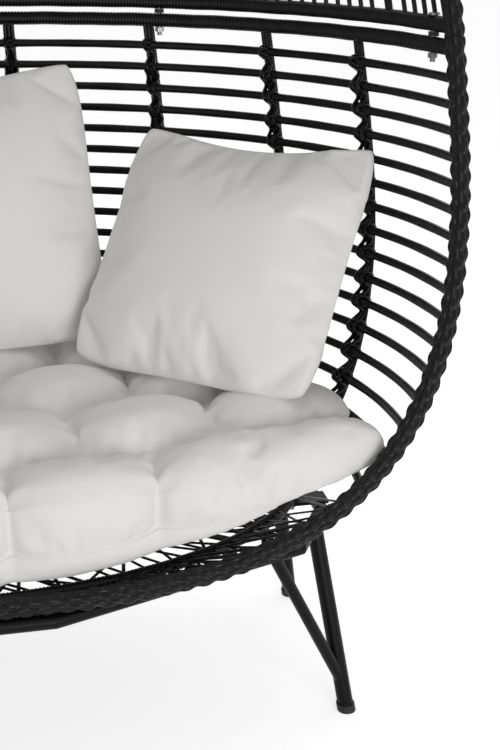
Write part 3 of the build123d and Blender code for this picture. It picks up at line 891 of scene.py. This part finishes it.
def makeSeatCushion():
    cushion = meshPiece("seatCushion", [seatBlock()])
    pickOnly(cushion)
    bpy.ops.object.mode_set(mode="EDIT")
    turnOutwards()
    bpy.ops.object.mode_set(mode="OBJECT")
    cushion.data.remesh_voxel_size = seat["voxel"]
    bpy.ops.object.voxel_remesh()
    soften = cushion.modifiers.new("soften", "SMOOTH")
    soften.factor = seat["softening"]
    soften.iterations = seat["smooth"]
    bpy.ops.object.modifier_apply(modifier="soften")
    mesh = cushion.data
    places = readPlaces(mesh)
    puff = seatPuff(places[:, 0], places[:, 1])[0]
    # the sewn lines fade out down the side wall, where the piped seam pulls in
    above = places[:, 2] - seatSeamZ(places[:, 0])
    fade = np.clip((above + seat["fadeStart"]) / seat["fadeRun"], 0, 1)
    sewn = seat["seamDrop"] * (1 - puff) * fade
    pulled = seat["seamPull"] * np.exp(-((above / seat["seamWide"]) ** 2))
    writePlaces(mesh, places - readNormals(mesh) * (sewn + pulled)[:, None])
    heldLines = np.clip(seat["holdFull"] - seat["holdFall"] * puff, 0, 1) * fade
    heldWall = np.clip(1 - above / seat["wallHold"], 0, 1)
    inflateCloth(cushion, seat["filling"], np.maximum(heldLines, heldWall))
    makeFiner(cushion)
    places = readPlaces(mesh)
    gathers = seatPuff(places[:, 0], places[:, 1])[1]
    above = np.clip((places[:, 2] - seatSeamZ(places[:, 0])) / seat["gatherRise"], 0, 1)
    writePlaces(mesh, places + readNormals(mesh) * (seat["gather"] * gathers * above)[:, None])
    addWeaveMap(mesh, drapedMap(mesh))
    return cushion


# a thin cord sewn along the side seam; sightings from outside find the cover's skin
piping = {
    "radius": 0.0014, "wander": 0.0002, "step": 0.005, "sides": 8, "lineSteps": 720, "sightings": 4,
    "firstSide": 0.4, "middleShift": 0.05, "sightFrom": 1.5}


def makeSeatPiping(cushion):
    skin = BVHTree.FromPolygons([point.co for point in cushion.data.vertices],
                                [tuple(face.vertices) for face in cushion.data.polygons])
    line = []
    for step in range(piping["lineSteps"] + 1):
        angle = 2 * math.pi * step / piping["lineSteps"]
        outward = Vector((math.sin(angle), math.cos(angle), 0))
        hit = Vector((piping["firstSide"] * outward.x, 0, 0))
        for sighting in range(piping["sightings"]):  # the seam's height follows the place that was hit
            middle = Vector((0, hoopY - piping["middleShift"], float(seatSeamZ(hit.x))))
            hit = skin.ray_cast(middle + outward * piping["sightFrom"], -outward)[0] or hit
        line.append(hit)
    cordSkin = smoothRadius(piping["radius"], piping["wander"])
    cord = meshPiece("seatPiping", [tubeShape(line, piping["step"], piping["sides"], cordSkin)])
    addWeaveMap(cord.data, drapedMap(cord.data))
    return cord


seatCushion = makeSeatCushion()
finishPiece(seatCushion, fabricFinish, ["seat_cushion"])
finishPiece(makeSeatPiping(seatCushion), fabricFinish, [])
print("seat cushion:", len(seatCushion.data.polygons), "faces")

# loose pillows
pillows = {
    "pillowCentre": {
        "half": 0.235, "middle": (-0.012, 0.581, 0.7414),
        "turn": 0, "tilt": 22, "roll": 3, "node": "pillow_centre"},
    "pillowRight": {
        "half": 0.212, "middle": (0.400, 0.393, 0.6937),
        "turn": -41, "tilt": 36, "roll": 0, "node": "pillow_right"},
    "pillowLeft": {
        "half": 0.212, "middle": (-0.412, 0.381, 0.6842),
        "turn": 41, "tilt": 36, "roll": 0, "node": "pillow_left"},
}
stuffing = {
    "crown": 0.078, "edge": 0.004, "cuts": 50, "startSwell": 0.6, "swellRound": 0.5, "draw": 0.009,
    "sag": 0.032, "sagRound": 1.5, "cornerCut": 0.1, "cornerRound": 4, "sewnFrom": 0.999,
    "filling": {"quality": 5, "mass": 0.25, "stretch": 9, "shear": 4, "bend": 0.12, "spare": 0.07,
                "pressure": 4.0, "frames": 24, "cap": 0.06},
}


def makePillow(name, facts):
    # two square faces sewn at the edge, blown up, then stood in its place
    half = facts["half"]
    cuts = stuffing["cuts"]
    deselectAll()
    bpy.ops.mesh.primitive_grid_add(x_subdivisions=cuts, y_subdivisions=cuts, size=2 * half,
                                    location=(0, 0, -stuffing["edge"] / 2))
    pillow = bpy.context.object
    pillow.name = name
    bpy.ops.object.transform_apply(location=True, rotation=True, scale=True)
    bpy.ops.object.mode_set(mode="EDIT")
    bpy.ops.mesh.select_all(action="SELECT")
    bpy.ops.mesh.extrude_region_move(TRANSFORM_OT_translate={"value": (0, 0, stuffing["edge"])})
    turnOutwards()
    bpy.ops.object.mode_set(mode="OBJECT")
    mesh = pillow.data
    mesh.name = name
    flat = readPlaces(mesh)
    places = flat.copy()
    u = flat[:, 0] / half
    v = flat[:, 1] / half
    swell = (np.clip(1 - u**2, 0, 1) * np.clip(1 - v**2, 0, 1)) ** stuffing["swellRound"]
    side = np.sign(flat[:, 2])
    full = stuffing["startSwell"]
    topSag = stuffing["sag"] * np.clip(v, 0, 1) ** stuffing["sagRound"]
    places[:, 2] += side * (stuffing["crown"] - stuffing["edge"] / 2) * swell * full
    places[:, 0] -= stuffing["draw"] * u * (1 - v**2)
    places[:, 1] -= (stuffing["draw"] * v + topSag) * (1 - u**2)
    places[:, :2] *= (1 - stuffing["cornerCut"] * np.abs(u * v) ** stuffing["cornerRound"])[:, None]
    writePlaces(mesh, places)
    sewnEdge = (np.maximum(np.abs(u), np.abs(v)) > stuffing["sewnFrom"]).astype(float)
    inflateCloth(pillow, stuffing["filling"], sewnEdge)
    # back to the pillow's own size and crown
    places = readPlaces(mesh)
    reach = np.abs(places[:, :2]).max(axis=0)
    places[:, :2] *= half / reach
    places[:, 2] *= stuffing["crown"] / np.abs(places[:, 2]).max()
    writePlaces(mesh, places)
    if mesh.uv_layers:
        mesh.uv_layers.remove(mesh.uv_layers[0])
    addWeaveMap(mesh, flat[:, :2])
    makeFiner(pillow)
    middle = Vector(facts["middle"]) + Vector((0, rimBottomY, 0))
    turn = Matrix.Rotation(math.radians(facts["turn"]), 4, "Z")
    tilt = Matrix.Rotation(math.radians(90 - facts["tilt"]), 4, "X")
    roll = Matrix.Rotation(math.radians(facts["roll"]), 4, "Z")
    mesh.transform(Matrix.Translation(middle) @ (turn @ tilt) @ roll)
    mesh.update()
    return pillow


for name, facts in pillows.items():
    pillow = makePillow(name, facts)
    finishPiece(pillow, fabricFinish, [facts["node"]])
print("pillows:", len(pillows))

# studio: floor, light and camera
studio = {
    "floorSize": 60.0, "floorColour": (0.93, 0.93, 0.93, 1), "floorRough": 0.9, "floorGlow": 0.6,
    "skyLight": 0.4, "white": (1, 1, 1, 1), "aim": (0.2, 0, 0.7),
    # each lamp's place, size in metres and power in watts
    "lamps": {
        "keyLamp": ((1.1, -3.4, 0.7), 1.8, 55.0), "fillLamp": ((-2.6, -2.2, 1.0), 1.8, 5.0),
        "topLamp": ((0.3, 0.4, 3.6), 2.4, 22.0), "backLamp": ((-0.6, 3.4, 1.6), 2.0, 16.0)},
}


def backgroundRays(tree, x, y):
    # 1 for rays that show the background: seen straight, in a gloss or through glass
    path = addNode(tree, "ShaderNodeLightPath", (x, y))
    seen = addNode(tree, "ShaderNodeMath", (x + 200, y), operation="MAXIMUM")
    either = addNode(tree, "ShaderNodeMath", (x + 380, y), operation="MAXIMUM")
    tree.links.new(path.outputs["Is Camera Ray"], seen.inputs[0])
    tree.links.new(path.outputs["Is Glossy Ray"], seen.inputs[1])
    tree.links.new(seen.outputs["Value"], either.inputs[0])
    tree.links.new(path.outputs["Is Transmission Ray"], either.inputs[1])
    return either.outputs["Value"]


def makeFloor():
    deselectAll()
    bpy.ops.mesh.primitive_plane_add(size=studio["floorSize"], location=(0, 0, 0))
    floor = bpy.context.object
    floor.name = "studioFloor"
    material = bpy.data.materials.new("floorPaint")
    material.use_nodes = True
    tree = material.node_tree
    shader = tree.nodes["Principled BSDF"]
    shader.inputs["Base Color"].default_value = studio["floorColour"]
    shader.inputs["Roughness"].default_value = studio["floorRough"]
    shader.inputs["Specular IOR Level"].default_value = 0.0
    shader.inputs["Emission Color"].default_value = studio["white"]
    glow = addNode(tree, "ShaderNodeMath", (-300, -200), operation="MULTIPLY")
    glow.inputs[1].default_value = studio["floorGlow"]
    tree.links.new(backgroundRays(tree, -900, -200), glow.inputs[0])
    tree.links.new(glow.outputs["Value"], shader.inputs["Emission Strength"])
    floor.data.materials.append(material)


def makeSky():
    world = bpy.data.worlds.new("studioSky")
    bpy.context.scene.world = world
    world.use_nodes = True
    tree = world.node_tree
    background = tree.nodes["Background"]
    background.inputs["Color"].default_value = studio["white"]
    strength = addNode(tree, "ShaderNodeMapRange", (-240, 0))
    strength.inputs["To Min"].default_value = studio["skyLight"]
    strength.inputs["To Max"].default_value = 1.0
    tree.links.new(backgroundRays(tree, -800, 0), strength.inputs["Value"])
    tree.links.new(strength.outputs["Result"], background.inputs["Strength"])


def makeLamps():
    for name, (place, size, power) in studio["lamps"].items():
        lamp = bpy.data.lights.new(name, "AREA")
        lamp.size = size
        lamp.energy = power
        holder = bpy.data.objects.new(name, lamp)
        holder.location = place
        holder.rotation_euler = (Vector(studio["aim"]) - Vector(place)).to_track_quat("-Z", "Y").to_euler()
        bpy.context.collection.objects.link(holder)


# the photograph's viewpoint: before the rim, a little above the joint, turned right and down
viewpoint = {
    "side": 0.0074, "beforeRim": 1.619, "height": 1.2507, "yaw": 0.214, "pitch": 0.354, "focalPixels": 1358.4,
    "framePixels": 500, "sensorWidth": 36.0}


def makeCamera():
    data = bpy.data.cameras.new("viewCamera")
    data.sensor_fit = "HORIZONTAL"
    data.sensor_width = viewpoint["sensorWidth"]
    data.lens = viewpoint["focalPixels"] / viewpoint["framePixels"] * data.sensor_width
    camera = bpy.data.objects.new("viewCamera", data)
    camera.location = (viewpoint["side"], rimBottomY - viewpoint["beforeRim"], viewpoint["height"])
    camera.rotation_euler = (math.pi / 2 - viewpoint["pitch"], 0, -viewpoint["yaw"])
    bpy.context.collection.objects.link(camera)
    bpy.context.scene.camera = camera


makeFloor()
makeSky()
makeLamps()
makeCamera()
print("studio set")
